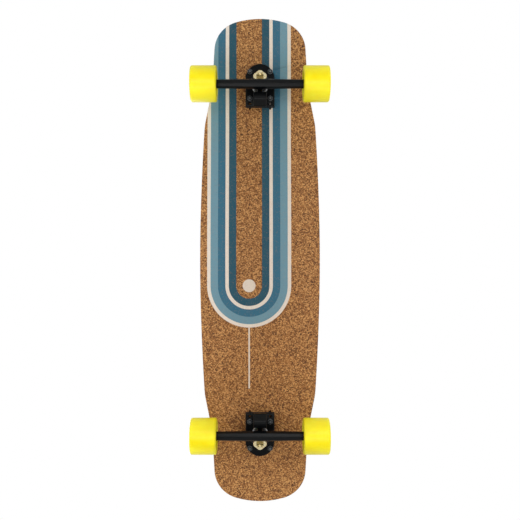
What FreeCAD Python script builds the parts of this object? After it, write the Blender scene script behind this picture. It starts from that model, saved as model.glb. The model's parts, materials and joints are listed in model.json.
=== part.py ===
import FreeCAD
import Part
import Sketcher
import math
import os

from FreeCAD import Vector

# A longboard on two reverse-kingpin trucks. +Z is up, +Y points to the nose, +X to the rider's right,
# and the origin lies on the floor under the middle of the board. Lengths are millimetres.

driving_sizes = {
    # deck outline, seen from above
    "deck_length": 990.6,
    "deck_width": 242.5,
    "side_bow": 8.4,
    "shoulder_inset": 80.0,
    "waist_step": 15.35,
    "waist_inset": 4.0,
    "corner_step": 6.5,
    "nose_depth": 27.0,
    "shoulder_radius": 140.0,
    "waist_radius": 160.0,
    "corner_radius": 62.0,
    # deck shape and layers
    "rocker_drop": 19.0,
    "concave_rise": 7.0,
    "kick_rise": 8.0,
    "flat_margin": 6.0,
    "grip_thickness": 0.9,
    "skin_thickness": 0.8,
    "core_thickness": 8.5,
    "cork_thickness": 2.0,
    # where the trucks bolt on
    "truck_overhang": 140.8,
    "spare_set_inset": 17.5,
    "bolt_column_spacing": 41.275,
    "bolt_row_spacing": 53.975,
    "long_row_shift": 9.525,
    "bolt_diameter": 4.8,
    "bolt_clearance": 0.3,
    "bolt_head_diameter": 9.4,
    "bolt_stickout": 1.5,
    "lock_nut_width": 9.5,
    "lock_nut_height": 5.0,
    "thread_clearance": 0.05,
    # riser pad and baseplate
    "riser_thickness": 3.0,
    "riser_border": 1.0,
    "plate_thickness": 6.5,
    "plate_hole_margin": 4.6,
    "end_round_inset": 12.0,
    "plate_heel_margin": 6.5,
    "wedge_nut_gap": 2.4,
    "seat_border": 0.5,
    "seat_foot_height": 6.0,
    "tower_wall": 3.0,
    "tower_round": 4.0,
    "socket_upper_cover": 30.0,
    "socket_lower_cover": 13.0,
    # steering geometry
    "steer_angle": 38.0,
    "ring_setback": 1.0,
    "axle_setback": 30.9,
    "axle_rake": 20.0,
    "pivot_reach": 56.0,
    # kingpin and what it clamps
    "kingpin_diameter": 9.5,
    "kingpin_clearance": 0.2,
    "kingpin_stickout": 1.0,
    "kingpin_head_width": 14.3,
    "kingpin_head_height": 6.0,
    "kingpin_head_gap": 1.5,
    "kingpin_head_clearance": 0.5,
    "kingpin_nut_width": 14.3,
    "kingpin_nut_height": 8.5,
    "bushing_diameter": 24.4,
    "bushing_height": 12.0,
    "boardside_washer_diameter": 30.0,
    "boardside_washer_thickness": 2.0,
    "roadside_washer_thickness": 1.5,
    "cup_lip_height": 2.0,
    "cup_lip_wall": 1.0,
    "cup_lip_clearance": 0.2,
    # hanger
    "hanger_width": 180.0,
    "beam_middle_diameter": 20.6,
    "beam_end_diameter": 18.0,
    "collar_length": 4.0,
    "collar_diameter": 17.8,
    "ring_radius": 19.0,
    "ring_thickness": 9.0,
    "ring_play": 2.0,
    "seat_depth": 2.0,
    "seat_clearance": 0.3,
    "washer_relief": 4.2,
    "ring_lip": 2.0,
    "gusset_foot_width": 104.0,
    "gusset_top_width": 40.0,
    "gusset_thickness": 10.0,
    "nose_root_radius": 6.2,
    "nose_tip_radius": 5.2,
    "pivot_clearance": 0.1,
    "pivot_cup_wall": 2.5,
    "pivot_cup_depth": 9.0,
    "pivot_neck_gap": 2.0,
    # axle and bearings
    "axle_diameter": 8.0,
    "axle_clearance": 0.03,
    "axle_stickout": 1.5,
    "axle_nut_width": 12.7,
    "axle_nut_height": 7.5,
    "speed_washer_thickness": 1.0,
    "bearing_diameter": 22.0,
    "bearing_width": 7.0,
    "spacer_length": 10.0,
    "ball_diameter": 3.97,
    "ball_count": 7,
    "ball_clearance": 0.05,
    "groove_depth": 0.25,
    "cage_clearance": 0.5,
    "cage_overlap": 1.5,
    "shield_thickness": 0.3,
    "shield_inset": 0.15,
    "shield_gap": 0.5,
    # wheel
    "wheel_diameter": 70.0,
    "wheel_width": 51.0,
    "bearing_recess": 7.5,
    "core_diameter": 40.0,
    "core_lip": 0.8,
    "core_lip_clearance": 0.5,
    "dish_diameter": 53.0,
    "lip_radius": 4.0,
}

# How far a cutting solid runs past the face that it cuts.
overrun = 5.0
# Steps between the control points along each curved stretch of the deck.
stretch_spans = 20

doc = FreeCAD.newDocument("longboard")
sheet = doc.addObject("Spreadsheet::Sheet", "sizes")
for row, (alias, size) in enumerate(driving_sizes.items(), start=1):
    sheet.set(f"A{row}", alias)
    sheet.set(f"B{row}", str(size))
    sheet.setAlias(f"B{row}", alias)
doc.recompute()

nodes = []

# Shared lengths, as expressions on the sheet.
tilt_sin = "sin(sizes.steer_angle * 1deg)"
tilt_cos = "cos(sizes.steer_angle * 1deg)"
hex_corner = "cos(30deg)"

# Along the kingpin, measured from the middle of the hanger's ring towards the deck.
seat_floor = "(sizes.ring_thickness / 2 - sizes.seat_depth)"
bushing_end = f"({seat_floor} + sizes.bushing_height)"
seat_level = f"({bushing_end} + sizes.boardside_washer_thickness)"
roadside_end = f"({bushing_end} + sizes.roadside_washer_thickness)"
nut_end = f"({roadside_end} + sizes.kingpin_nut_height)"

seat_reach = "(sizes.boardside_washer_diameter / 2 + sizes.seat_border)"
ring_drop = (
    f"(sizes.plate_thickness + sizes.seat_foot_height + {seat_reach} * {tilt_sin}"
    f" + {seat_level} * {tilt_cos})"
)
axle_drop = f"({ring_drop} + sizes.axle_setback * {tilt_sin} + sizes.axle_rake * {tilt_cos})"
axle_lead = f"(-sizes.ring_setback - sizes.axle_setback * {tilt_cos} + sizes.axle_rake * {tilt_sin})"
base_height = f"(sizes.wheel_diameter / 2 + {axle_drop})"
deck_height = f"({base_height} + sizes.riser_thickness)"
deck_thickness = (
    "(sizes.cork_thickness + 2 * sizes.skin_thickness + sizes.core_thickness + sizes.grip_thickness)"
)

head_radius = f"(sizes.kingpin_head_width / 2 / {hex_corner})"
head_level = (
    f"(({ring_drop} - sizes.kingpin_head_gap - {head_radius} * {tilt_sin}) / {tilt_cos}"
    " - sizes.kingpin_head_height)"
)
cup_lip = "(sizes.bushing_diameter / 2 + sizes.cup_lip_clearance)"
cup_rim = f"({cup_lip} + sizes.cup_lip_wall)"
kingpin_bore = "(sizes.kingpin_diameter / 2 + sizes.kingpin_clearance)"
cup_bore = "(sizes.nose_tip_radius + sizes.pivot_clearance)"
socket_radius = f"({cup_bore} + sizes.pivot_cup_wall)"
socket_end = "(sizes.pivot_reach + sizes.pivot_clearance + sizes.pivot_cup_wall)"

# The middle of each truck's four bolts lies a fixed way in from the deck's end.
truck_station = "(sizes.deck_length / 2 - sizes.truck_overhang)"

# The baseplate's outline, about the middle of its four bolts.
hole_radius = "(sizes.bolt_diameter / 2 + sizes.bolt_clearance)"
hole_column = "(sizes.bolt_column_spacing / 2)"
hole_row = "(sizes.bolt_row_spacing / 2)"
end_radius = f"(sqrt({hole_column} ^ 2 + sizes.end_round_inset ^ 2) + sizes.plate_hole_margin)"
end_centre = f"({hole_row} - sizes.end_round_inset)"
plate_heel = f"(-({hole_row} + sizes.long_row_shift + sizes.plate_heel_margin))"
# The deck is flat under each riser pad and for a margin round it.
flat_start = f"({truck_station} + {plate_heel} - sizes.riser_border - sizes.flat_margin)"
flat_reach = f"({end_centre} + {end_radius} + sizes.riser_border + sizes.flat_margin)"
flat_end = f"({truck_station} + {flat_reach})"
lock_nut_radius = f"(sizes.lock_nut_width / 2 / {hex_corner})"
wedge_width = f"(2 * ({hole_column} - {lock_nut_radius} - sizes.wedge_nut_gap))"

# Along the axle, measured from the middle of the hanger.
hanger_end = "(sizes.hanger_width / 2)"
inner_bearing = f"({hanger_end} + sizes.speed_washer_thickness)"
outer_bearing = f"({inner_bearing} + sizes.bearing_width + sizes.spacer_length)"
bearings_end = f"({outer_bearing} + sizes.bearing_width)"
axle_washer_end = f"({bearings_end} + sizes.speed_washer_thickness)"
axle_nut_end = f"({axle_washer_end} + sizes.axle_nut_height)"
axle_end = f"({axle_nut_end} + sizes.axle_stickout)"
wheel_inside = f"({inner_bearing} - sizes.bearing_recess)"
wheel_outside = f"({wheel_inside} + sizes.wheel_width)"
core_inside = f"({inner_bearing} - sizes.core_lip)"
core_outside = f"({bearings_end} + sizes.core_lip)"

axle_bore = "(sizes.axle_diameter / 2 + sizes.axle_clearance)"
ball_track = "((sizes.axle_diameter + sizes.bearing_diameter) / 4)"
bearing_radius = "(sizes.bearing_diameter / 2)"
groove_radius = "(sizes.ball_diameter / 2 + sizes.ball_clearance)"
shoulder_offset = "(sizes.ball_diameter / 2 - sizes.groove_depth)"
inner_shoulder = f"({ball_track} - {shoulder_offset})"
outer_shoulder = f"({ball_track} + {shoulder_offset})"


def number(expression):
    return float(sheet.evalExpression(expression))


def moved(x="0", y="0", z="0"):
    return f"placement(vector({x}; {y}; {z}); rotation(vector(0; 0; 1); 0))"


def turned(axis, angle):
    return f"placement(vector(0; 0; 0); rotation(vector({axis}); {angle}))"


along_x = turned("0; 1; 0", "90")
along_y = turned("1; 0; 0", "-90")
half_turn = turned("0; 0; 1", "180")

# Each truck's frames: its mount on the deck, its leaning ring and its axle. The rear one is turned round.
truck_turns = {"front": turned("0; 0; 1", "0"), "rear": half_turn}
mount_place = moved(y=truck_station, z=base_height)
mounts = {end: f"{turn} * {mount_place}" for end, turn in truck_turns.items()}
ring_place = moved(y="-sizes.ring_setback", z="-" + ring_drop)
ring_lean = f"{ring_place} * {turned('1; 0; 0', 'sizes.steer_angle')}"
rings = {end: f"{mount} * {ring_lean}" for end, mount in mounts.items()}
axles = {end: f"{mount} * {moved(y=axle_lead, z='-' + axle_drop)}" for end, mount in mounts.items()}
# Each wheel's frame runs outward along its axle. A turned truck swaps its left and right.
wheels = {
    "front_right": axles["front"],
    "front_left": f"{axles['front']} * {half_turn}",
    "rear_right": f"{axles['rear']} * {half_turn}",
    "rear_left": axles["rear"],
}


def ring_point(along, up):
    # A point of the leaning ring's frame, in the frame of the truck's mount.
    y = f"(-sizes.ring_setback + ({along}) * {tilt_cos} - ({up}) * {tilt_sin})"
    z = f"(-{ring_drop} + ({along}) * {tilt_sin} + ({up}) * {tilt_cos})"
    return y, z


def add_node(feature):
    nodes.append(feature)
    return feature


def add_body(name, placement=None):
    body = doc.addObject("PartDesign::Body", name)
    if placement:
        body.setExpression("Placement", placement)
    return body


def add_sketch(body, name, plane_role, offset=None):
    sketch = body.newObject("Sketcher::SketchObject", name)
    plane = next(item for item in body.Origin.OriginFeatures if item.Role == plane_role)
    sketch.AttachmentSupport = [(plane, "")]
    sketch.MapMode = "FlatFace"
    if offset:
        sketch.setExpression("AttachmentOffset.Base.z", offset)
    return sketch


def bind_constraint(sketch, constraint, expression):
    index = sketch.addConstraint(constraint)
    sketch.setExpression(f"Constraints[{index}]", expression)


def pin_point(sketch, geometry, point, x, y):
    for kind, expression in (("DistanceX", x), ("DistanceY", y)):
        pin = Sketcher.Constraint(kind, -1, 1, geometry, point, number(expression))
        bind_constraint(sketch, pin, expression)


def draw_polygon(sketch, corners):
    points = [Vector(number(x), number(y), 0) for x, y in corners]
    first = sketch.GeometryCount
    count = len(points)
    for k, point in enumerate(points):
        sketch.addGeometry(Part.LineSegment(point, points[(k + 1) % count]))
    for k in range(count):
        sketch.addConstraint(Sketcher.Constraint("Coincident", first + k, 2, first + (k + 1) % count, 1))
    for k, (x, y) in enumerate(corners):
        pin_point(sketch, first + k, 1, x, y)


def draw_circle(sketch, x, y, radius):
    centre = Vector(number(x), number(y), 0)
    circle = sketch.addGeometry(Part.Circle(centre, Vector(0, 0, 1), number(radius)))
    pin_point(sketch, circle, 3, x, y)
    bind_constraint(sketch, Sketcher.Constraint("Radius", circle, number(radius)), radius)


def hexagon(width):
    radius = f"({width} / 2 / {hex_corner})"
    return [(f"{radius} * cos({60 * k}deg)", f"{radius} * sin({60 * k}deg)") for k in range(6)]


def add_pad(body, sketch, name, length, symmetric=False, downward=False):
    pad = body.newObject("PartDesign::Pad", name)
    pad.Profile = sketch
    pad.SideType = "Symmetric" if symmetric else "One side"
    pad.Reversed = downward
    pad.setExpression("Length", length)
    return pad


def add_revolved(name, corners, plane_role, axis, placement=None):
    body = add_body(name, placement)
    sketch = add_sketch(body, f"{name}_profile", plane_role)
    draw_polygon(sketch, corners)
    turn = body.newObject("PartDesign::Revolution", f"{name}_turn")
    turn.Profile = sketch
    turn.ReferenceAxis = (sketch, [axis])
    turn.Angle = 360
    return body


def add_axle_ring(name, inside, outside, start, end, placement):
    # A ring about the axle's line, from one place along it to another.
    corners = [(start, inside), (end, inside), (end, outside), (start, outside)]
    return add_revolved(name, corners, "XY_Plane", "H_Axis", placement)


def add_kingpin_ring(name, corners, placement):
    # A ring about the kingpin, with its corners as distance from the pin and place along it.
    return add_revolved(name, corners, "XZ_Plane", "V_Axis", placement)


def add_cylinder(name, radius, height, placement):
    cylinder = doc.addObject("Part::Cylinder", name)
    cylinder.setExpression("Radius", radius)
    cylinder.setExpression("Height", height)
    cylinder.setExpression("Placement", placement)
    return cylinder


def add_sphere(name, radius, placement):
    sphere = doc.addObject("Part::Sphere", name)
    sphere.setExpression("Radius", radius)
    sphere.setExpression("Placement", placement)
    return sphere


def add_hex_nut(name, width, height, bore, placement):
    body = add_body(name, placement)
    sketch = add_sketch(body, f"{name}_hexagon", "XY_Plane")
    draw_polygon(sketch, hexagon(width))
    draw_circle(sketch, "0", "0", bore)
    add_pad(body, sketch, f"{name}_pad", height)
    return body


def add_fuse(name, shapes):
    fuse = doc.addObject("Part::MultiFuse", name)
    fuse.Shapes = shapes
    return fuse


def add_cut(name, base, tool, placement=None):
    cut = doc.addObject("Part::Cut", name)
    cut.Base = base
    cut.Tool = tool
    if placement:
        cut.setExpression("Placement", placement)
    return cut


def add_group(name, solids):
    group = doc.addObject("Part::Compound", name)
    group.Links = solids
    return add_node(group)


def edges_where(feature, wanted):
    doc.recompute()
    return [f"Edge{k}" for k, edge in enumerate(feature.Shape.Edges, start=1) if wanted(edge)]


def add_fillet(body, base, name, edges, radius):
    fillet = body.newObject("PartDesign::Fillet", name)
    fillet.Base = (base, edges)
    fillet.setExpression("Radius", radius)
    return fillet


def make_deck_outline():
    # Bowed sides, a stepped-in waist over each truck and round ends, as one tall prism.
    shoulder_reach = "(sizes.deck_width / 2 - sizes.side_bow)"
    waist_reach = f"({shoulder_reach} - sizes.waist_step)"
    shoulder = (shoulder_reach, f"({truck_station} - sizes.shoulder_inset)")
    waist = (waist_reach, f"({truck_station} - sizes.waist_inset)")
    corner = (f"({waist_reach} - sizes.corner_step)", "(sizes.deck_length / 2 - sizes.nose_depth)")
    side_radius = f"(({shoulder[1]} ^ 2 + sizes.side_bow ^ 2) / 2 / sizes.side_bow)"
    tip_radius = f"(({corner[0]} ^ 2 + sizes.nose_depth ^ 2) / 2 / sizes.nose_depth)"

    body = add_body("deck_outline", moved(z=deck_height))
    sketch = add_sketch(body, "deck_outline_sketch", "XY_Plane")
    quadrants = [(1, 1), (-1, 1), (-1, -1), (1, -1)]
    corners = []
    for sign_x, sign_y in quadrants:
        quarter = [shoulder, waist, corner]
        if sign_x != sign_y:
            quarter.reverse()
        corners += [(f"{sign_x} * {x}", f"{sign_y} * {y}") for x, y in quarter]
    points = [Vector(number(x), number(y), 0) for x, y in corners]
    half_length = number("sizes.deck_length / 2")
    half_width = number("sizes.deck_width / 2")
    bulges = {
        2: (Vector(0, half_length, 0), tip_radius),
        5: (Vector(-half_width, 0, 0), side_radius),
        8: (Vector(0, -half_length, 0), tip_radius),
        11: (Vector(half_width, 0, 0), side_radius),
    }
    count = len(points)
    for k, point in enumerate(points):
        following = points[(k + 1) % count]
        if k in bulges:
            sketch.addGeometry(Part.Arc(point, bulges[k][0], following))
        else:
            sketch.addGeometry(Part.LineSegment(point, following))
    for k in range(count):
        sketch.addConstraint(Sketcher.Constraint("Coincident", k, 2, (k + 1) % count, 1))
    for k, (x, y) in enumerate(corners):
        pin_point(sketch, k, 1, x, y)
    for k, (middle, radius) in bulges.items():
        bind_constraint(sketch, Sketcher.Constraint("Radius", k, number(radius)), radius)

    height = f"(2 * (sizes.rocker_drop + sizes.concave_rise + sizes.kick_rise + {deck_thickness}))"
    feature = add_pad(body, sketch, "deck_outline_pad", height, symmetric=True)
    roundings = [(shoulder, "shoulder_radius"), (waist, "waist_radius"), (corner, "corner_radius")]
    for place, radius in roundings:
        spot = Vector(number(place[0]), number(place[1]), 0)

        def stands_there(edge):
            middle = edge.CenterOfMass
            upright = edge.BoundBox.ZLength > edge.BoundBox.XLength + edge.BoundBox.YLength
            gap = math.hypot(abs(middle.x) - spot.x, abs(middle.y) - spot.y)
            return upright and gap < Part.Precision.approximation()

        edges = edges_where(feature, stands_there)
        feature = add_fillet(body, feature, f"deck_outline_{radius}", edges, f"sizes.{radius}")
    return body


def deck_profile(y):
    # Height of the deck's middle line, and how far its edges curl above it, at one place along the board.
    place = abs(y)
    inner = number(flat_start)
    outer = number(flat_end)
    if place < number(truck_station):
        share = (1 + math.cos(math.pi * place / inner)) / 2
        return -number("sizes.rocker_drop") * share, number("sizes.concave_rise") * share
    share = (place - outer) / (number("sizes.deck_length / 2") - outer)
    return number("sizes.kick_rise") * share ** 2, 0.0


def make_deck_surface(name, start, end):
    # One curved stretch of the deck's underside: a cubic along the board and a parabola across it.
    half_width = number("sizes.deck_width / 2") + overrun
    rows = []
    for k in range(stretch_spans + 1):
        y = start + (end - start) * k / stretch_spans
        height, curl = deck_profile(y)
        row = [
            Vector(-half_width, y, height + curl),
            Vector(0, y, height - curl),
            Vector(half_width, y, height + curl),
        ]
        rows.append(row)
    spans = len(rows) - 3
    knots = list(range(spans + 1))
    multiplicities = [4] + [1] * (spans - 1) + [4]
    surface = Part.BSplineSurface()
    surface.buildFromPolesMultsKnots(rows, multiplicities, [3, 3], knots, [0, 1], False, False, 3, 2)
    feature = doc.addObject("Part::Feature", f"deck_{name}")
    feature.Shape = surface.toShape()
    return feature


def make_deck_slab(name, surfaces, level, thickness):
    # One layer before it is trimmed: curved stretches between the flats that the trucks sit on.
    stretches = []
    for k, surface in enumerate(surfaces):
        stretch = doc.addObject("Part::Extrusion", f"{name}_stretch_{k}")
        stretch.Base = surface
        stretch.DirMode = "Custom"
        stretch.Dir = Vector(0, 0, 1)
        stretch.Solid = True
        stretch.setExpression("LengthFwd", thickness)
        stretch.setExpression("Placement", moved(z=level))
        stretches.append(stretch)
    side = f"-(sizes.deck_width / 2 + {overrun})"
    for end, turn in truck_turns.items():
        flat = doc.addObject("Part::Box", f"{name}_{end}_flat")
        flat.setExpression("Length", f"sizes.deck_width + {2 * overrun}")
        flat.setExpression("Width", f"{flat_end} - {flat_start}")
        flat.setExpression("Height", thickness)
        flat.setExpression("Placement", f"{turn} * {moved(side, flat_start, level)}")
        stretches.append(flat)
    return add_fuse(f"{name}_slab", stretches)


def make_deck_holes():
    # Two sets of four holes at each end: the outer set holds the truck and the inner set is spare. The
    # grip tape is pierced only where a bolt goes through it.
    used = []
    spare = []
    sunk = []
    start = f"({deck_height} - {overrun})"
    depth = f"({deck_thickness} + {2 * overrun})"
    cone_depth = "((sizes.bolt_head_diameter - sizes.bolt_diameter) / 2)"
    cone_start = f"({depth} - {overrun} - {cone_depth})"
    mouth = f"({hole_radius} + {cone_depth} + {overrun})"
    sunk_profile = [("0", "0"), (hole_radius, "0"), (hole_radius, cone_start), (mouth, depth), ("0", depth)]
    for sign_x in (-1, 1):
        for sign_row in (-1, 1):
            for end, turn in truck_turns.items():
                x = f"{sign_x} * {hole_column}"
                y = f"({truck_station} + {sign_row} * {hole_row})"
                name = f"{end}_hole_{len(used)}"
                place = f"{turn} * {moved(x, y, start)}"
                inset = f"({y} - sizes.spare_set_inset)"
                spare_place = f"{turn} * {moved(x, inset, start)}"
                used.append(add_cylinder(name, hole_radius, depth, place))
                spare.append(add_cylinder(f"{name}_spare", hole_radius, depth, spare_place))
                sunk.append(add_revolved(f"{name}_sunk", sunk_profile, "XZ_Plane", "V_Axis", place))
    straight_holes = add_fuse("straight_holes", used + spare)
    sunk_holes = add_fuse("sunk_holes", sunk + spare)
    return straight_holes, sunk_holes, add_fuse("grip_holes", sunk)


def make_deck():
    tip = number("sizes.deck_length / 2") + overrun
    inner = number(flat_start)
    outer = number(flat_end)
    surfaces = [
        make_deck_surface("middle", -inner, inner),
        make_deck_surface("nose", outer, tip),
        make_deck_surface("tail", -tip, -outer),
    ]
    outline = make_deck_outline()
    straight_holes, sunk_holes, grip_holes = make_deck_holes()
    layers = [
        ("cork_base", "sizes.cork_thickness", straight_holes),
        ("base_fibre_skin", "sizes.skin_thickness", straight_holes),
        ("deck_core", "sizes.core_thickness", sunk_holes),
        ("top_fibre_skin", "sizes.skin_thickness", sunk_holes),
        ("grip_tape", "sizes.grip_thickness", grip_holes),
    ]
    level = deck_height
    for name, thickness, holes in layers:
        trimmed = doc.addObject("Part::Common", f"{name}_trimmed")
        trimmed.Base = make_deck_slab(name, surfaces, level, thickness)
        trimmed.Tool = outline
        add_node(add_cut(name, trimmed, holes))
        level = f"({level} + {thickness})"


def draw_plate(sketch, border):
    # Square at the heel and a half circle at the outer end.
    half = f"({end_radius} + {border})"
    heel = f"({plate_heel} - {border})"
    corners = [(f"-{half}", heel), (half, heel), (half, end_centre)]
    points = [Vector(number(x), number(y), 0) for x, y in corners]
    centre = Vector(0, number(end_centre), 0)
    far_corner = Vector(-points[2].x, points[2].y, 0)
    circle = Part.Circle(centre, Vector(0, 0, 1), number(half))
    sketch.addGeometry(Part.LineSegment(points[0], points[1]))
    sketch.addGeometry(Part.LineSegment(points[1], points[2]))
    sketch.addGeometry(Part.ArcOfCircle(circle, 0, math.pi))
    sketch.addGeometry(Part.LineSegment(far_corner, points[0]))
    for k in range(4):
        sketch.addConstraint(Sketcher.Constraint("Coincident", k, 2, (k + 1) % 4, 1))
    for k, (x, y) in enumerate(corners):
        pin_point(sketch, k, 1, x, y)
    pin_point(sketch, 2, 3, "0", end_centre)
    level = Sketcher.Constraint("DistanceY", -1, 1, 3, 1, number(end_centre))
    bind_constraint(sketch, level, end_centre)


def make_plate_holes(name, start, height):
    # The four bolt holes and the pair for the longer bolt pattern.
    rows = [hole_row, f"-{hole_row}", f"-({hole_row} + sizes.long_row_shift)"]
    holes = []
    for sign_x in (-1, 1):
        for row in rows:
            place = moved(f"{sign_x} * {hole_column}", row, start)
            holes.append(add_cylinder(f"{name}_hole_{len(holes)}", hole_radius, height, place))
    return holes


def make_riser_pad(end):
    name = f"{end}_riser_pad"
    body = add_body(f"{name}_blank")
    sketch = add_sketch(body, f"{name}_outline", "XY_Plane")
    draw_plate(sketch, "sizes.riser_border")
    add_pad(body, sketch, f"{name}_pad", "sizes.riser_thickness")
    holes = make_plate_holes(name, f"-{overrun}", f"(sizes.riser_thickness + {2 * overrun})")
    add_node(add_cut(name, body, add_fuse(f"{name}_holes", holes), mounts[end]))


def make_baseplate(end):
    name = f"{end}_baseplate"
    body = add_body(f"{name}_blank")
    plan = add_sketch(body, f"{name}_outline", "XY_Plane")
    draw_plate(plan, "0")
    add_pad(body, plan, f"{name}_plate", "sizes.plate_thickness", downward=True)

    # The wedge that the kingpin leans out of, and the tower that holds the pivot.
    lug = f"({socket_radius} + sizes.tower_wall)"
    lug_end = f"({socket_end} + sizes.tower_wall)"
    seat_out = ring_point(seat_reach, seat_level)
    toe = ring_point(f"-{lug_end}", f"-{lug}")
    heel = ring_point(f"-{lug_end}", lug)
    lip = ring_point("-(sizes.pivot_reach - sizes.socket_lower_cover)", f"-{lug}")
    corners = [
        (plate_heel, "0"),
        heel,
        toe,
        lip,
        ring_point("-(sizes.pivot_reach - sizes.socket_upper_cover)", seat_level),
        seat_out,
        (seat_out[0], "0"),
    ]
    side = add_sketch(body, f"{name}_side", "YZ_Plane")
    draw_polygon(side, corners)
    wedge = add_pad(body, side, f"{name}_wedge", wedge_width, symmetric=True)
    rounded = [Vector(0, number(y), number(z)) for y, z in (heel, toe, lip)]

    def is_tower_corner(edge):
        middle = edge.CenterOfMass
        near = min(math.hypot(middle.y - spot.y, middle.z - spot.z) for spot in rounded)
        return near < Part.Precision.approximation()

    edges = edges_where(wedge, is_tower_corner)
    add_fillet(body, wedge, f"{name}_rounding", edges, "sizes.tower_round")

    hole_start = f"-(sizes.plate_thickness + {overrun})"
    tools = make_plate_holes(name, hole_start, f"(sizes.plate_thickness + {2 * overrun})")
    tools.append(add_cylinder(f"{name}_kingpin_hole", kingpin_bore, head_level, ring_lean))
    pocket = f"({head_radius} + sizes.kingpin_head_clearance)"
    pocket_depth = f"(sizes.kingpin_head_height + {pocket} * {tilt_sin} / {tilt_cos} * 2 + {overrun})"
    tools.append(add_cylinder(f"{name}_pocket", pocket, pocket_depth, f"{ring_lean} * {moved(z=head_level)}"))
    bore = f"{ring_lean} * {moved(y='-' + socket_end)} * {along_y}"
    bore_length = f"({socket_end} - sizes.pivot_reach + sizes.socket_upper_cover)"
    tools.append(add_cylinder(f"{name}_socket", socket_radius, bore_length, bore))
    add_node(add_cut(name, body, add_fuse(f"{name}_tools", tools), mounts[end]))


def make_pivot_cup(end):
    name = f"{end}_pivot_cup"
    length = f"({socket_end} - sizes.pivot_reach + sizes.pivot_cup_depth)"
    place = f"{moved(y='-' + socket_end)} * {along_y}"
    outside = add_cylinder(f"{name}_outside", socket_radius, length, place)
    tip_centre = "(sizes.pivot_reach - sizes.nose_tip_radius)"
    bore = f"{moved(y='-' + tip_centre)} * {along_y}"
    tools = [
        add_sphere(f"{name}_bowl", cup_bore, moved(y="-" + tip_centre)),
        add_cylinder(f"{name}_bore", cup_bore, length, bore),
    ]
    add_node(add_cut(name, outside, add_fuse(f"{name}_tools", tools), rings[end]))


def make_kingpin(end):
    name = f"{end}_kingpin"
    body = add_body(name, rings[end])
    tail = f"(-({nut_end} + sizes.kingpin_stickout))"
    shank = add_sketch(body, f"{name}_shank", "XY_Plane", tail)
    draw_circle(shank, "0", "0", "sizes.kingpin_diameter / 2")
    add_pad(body, shank, f"{name}_shank_pad", f"({head_level} - {tail})")
    head = add_sketch(body, f"{name}_head", "XY_Plane", head_level)
    draw_polygon(head, hexagon("sizes.kingpin_head_width"))
    add_pad(body, head, f"{name}_head_pad", "sizes.kingpin_head_height")
    add_node(body)
    bore = "(sizes.kingpin_diameter / 2 + sizes.thread_clearance)"
    nut = f"{rings[end]} * {moved(z='-' + nut_end)}"
    add_node(add_hex_nut(f"{name}_nut", "sizes.kingpin_nut_width", "sizes.kingpin_nut_height", bore, nut))


def make_bushings(end):
    outside = "(sizes.bushing_diameter / 2)"
    frame = rings[end]
    for side, sign in (("boardside", ""), ("roadside", "-")):
        start = f"{sign}{seat_floor}"
        stop = f"{sign}{bushing_end}"
        corners = [(kingpin_bore, start), (outside, start), (outside, stop), (kingpin_bore, stop)]
        add_node(add_kingpin_ring(f"{end}_{side}_bushing", corners, frame))
    flat = "(sizes.boardside_washer_diameter / 2)"
    corners = [
        (kingpin_bore, bushing_end),
        (flat, bushing_end),
        (flat, seat_level),
        (kingpin_bore, seat_level),
    ]
    add_node(add_kingpin_ring(f"{end}_boardside_washer", corners, frame))
    lip_level = f"-({bushing_end} - sizes.cup_lip_height)"
    corners = [
        (kingpin_bore, f"-{bushing_end}"),
        (cup_lip, f"-{bushing_end}"),
        (cup_lip, lip_level),
        (cup_rim, lip_level),
        (cup_rim, f"-{roadside_end}"),
        (kingpin_bore, f"-{roadside_end}"),
    ]
    add_node(add_kingpin_ring(f"{end}_roadside_washer", corners, frame))


def make_deck_bolts(end):
    top = f"(sizes.riser_thickness + {deck_thickness})"
    head = "(sizes.bolt_head_diameter / 2)"
    shank = "(sizes.bolt_diameter / 2)"
    tail = "(-(sizes.plate_thickness + sizes.lock_nut_height + sizes.bolt_stickout))"
    corners = [("0", top), (head, top), (shank, f"({top} - ({head} - {shank}))"), (shank, tail), ("0", tail)]
    bore = f"({shank} + sizes.thread_clearance)"
    bolts = []
    nuts = []
    for sign_x in (-1, 1):
        for sign_y in (-1, 1):
            spot = f"{mounts[end]} * {moved(f'{sign_x} * {hole_column}', f'{sign_y} * {hole_row}')}"
            bolts.append(add_kingpin_ring(f"{end}_deck_bolt_{len(bolts)}", corners, spot))
            seat = f"{spot} * {moved(z='-(sizes.plate_thickness + sizes.lock_nut_height)')}"
            name = f"{end}_lock_nut_{len(nuts)}"
            nuts.append(add_hex_nut(name, "sizes.lock_nut_width", "sizes.lock_nut_height", bore, seat))
    add_group(f"{end}_deck_bolts", bolts)
    add_group(f"{end}_lock_nuts", nuts)


def make_hanger_beam(end):
    # Eight-sided, thickest in the middle, with one ridge facing the road.
    name = f"{end}_hanger_beam"
    body = add_body(name)
    beam_end = f"({hanger_end} - sizes.collar_length)"
    stations = [("0", "sizes.beam_middle_diameter"), (beam_end, "sizes.beam_end_diameter")]
    sections = []
    for place, diameter in stations:
        section = add_sketch(body, f"{name}_section_{len(sections)}", "YZ_Plane", place)
        corners = []
        for k in range(8):
            angle = f"(({270 + 45 * k} - sizes.steer_angle) * 1deg)"
            y = f"(-sizes.axle_setback + {diameter} / 2 * cos({angle}))"
            z = f"(-sizes.axle_rake + {diameter} / 2 * sin({angle}))"
            corners.append((y, z))
        draw_polygon(section, corners)
        sections.append(section)
    loft = body.newObject("PartDesign::AdditiveLoft", f"{name}_loft")
    loft.Profile = sections[0]
    loft.Sections = sections[1:]
    loft.Ruled = True
    doc.recompute()
    plane = next(item for item in body.Origin.OriginFeatures if item.Role == "YZ_Plane")
    mirror = body.newObject("PartDesign::Mirrored", f"{name}_mirror")
    mirror.Originals = [loft]
    mirror.MirrorPlane = (plane, [""])
    body.Tip = mirror
    return body


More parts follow.
